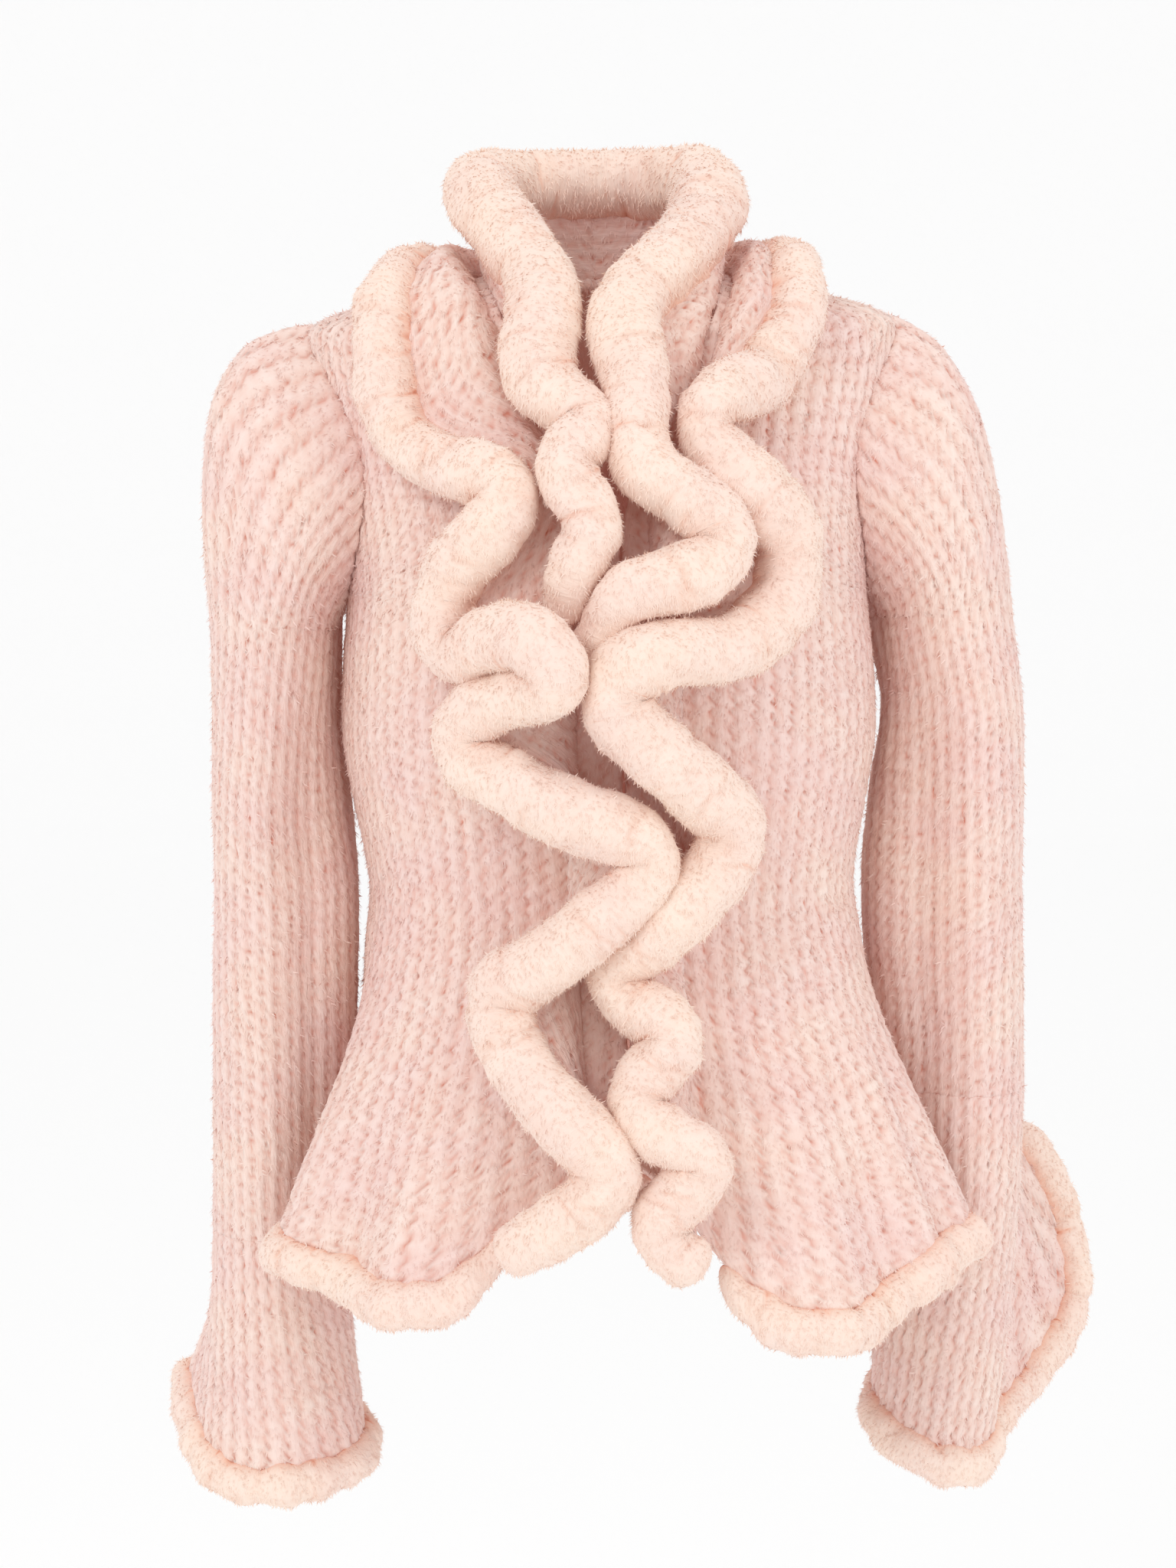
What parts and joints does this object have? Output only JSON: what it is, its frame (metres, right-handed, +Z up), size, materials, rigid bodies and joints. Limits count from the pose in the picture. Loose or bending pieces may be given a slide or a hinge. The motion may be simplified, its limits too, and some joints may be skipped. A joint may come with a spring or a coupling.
{
  "type": "knitted fur jacket with a double ruffle collar and bell cuffs",
  "caption": "Short fitted jacket of knitted fur, in its worn form: a double ruffle collar that runs down both front edges, long sleeves with bell cuffs and rolled fur edges.",
  "frame": {"origin": "middle of the neck opening, at the height where the neck rests on the shoulders", "axes": "+X to the wearer's left, -Y out of the front, +Z up"},
  "size_m": [0.6164, 0.3739, 0.8587],
  "materials": {
    "knitted_fur": "matt pale pink knitted fur",
    "fur_roll": "matt cream pink rolled fur"
  },
  "bodies": {
    "root": {"back": "knitted_fur", "cuff_edge_left": "fur_roll", "cuff_edge_right": "fur_roll", "cuff_left": "knitted_fur", "cuff_right": "knitted_fur", "front_left": "knitted_fur", "front_right": "knitted_fur", "hem_edge_back": "fur_roll", "hem_edge_left": "fur_roll", "hem_edge_right": "fur_roll", "ruffle_edge_inner_left": "fur_roll", "ruffle_edge_inner_right": "fur_roll", "ruffle_edge_outer_left": "fur_roll", "ruffle_edge_outer_right": "fur_roll", "ruffle_inner_left": "knitted_fur", "ruffle_inner_right": "knitted_fur", "ruffle_outer_left": "knitted_fur", "ruffle_outer_right": "knitted_fur", "sleeve_left": "knitted_fur", "sleeve_right": "knitted_fur"}
  },
  "joints": []
}
